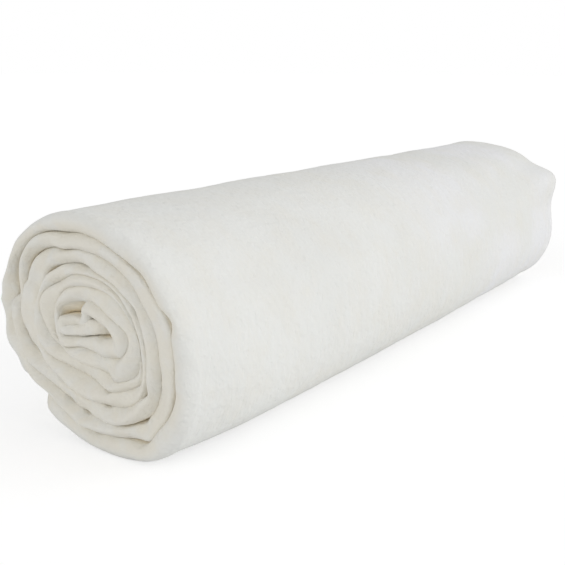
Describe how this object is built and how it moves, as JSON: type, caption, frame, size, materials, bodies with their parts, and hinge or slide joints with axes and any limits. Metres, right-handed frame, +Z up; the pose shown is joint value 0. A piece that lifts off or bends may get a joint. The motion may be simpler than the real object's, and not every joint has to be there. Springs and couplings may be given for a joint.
{
  "type": "roll of cotton batting",
  "caption": "Soft off-white cotton quilt batting, folded into a long strip and rolled into a log, with its spiral winding open at both ends.",
  "frame": {"origin": "bottom centre of the roll's box, on the surface that it lies on", "axes": "+X along the roll, from the end with the open hollow and the curled tongue to the end with the turned-out corner; +Z up; the strip's loose tail lies low on the +Y side"},
  "size_m": [0.5874, 0.161, 0.1439],
  "materials": {
    "cotton_batting": "matte, soft, lightly felted natural cotton fibre"
  },
  "bodies": {
    "root": {"batting_roll": "cotton_batting"}
  },
  "joints": []
}
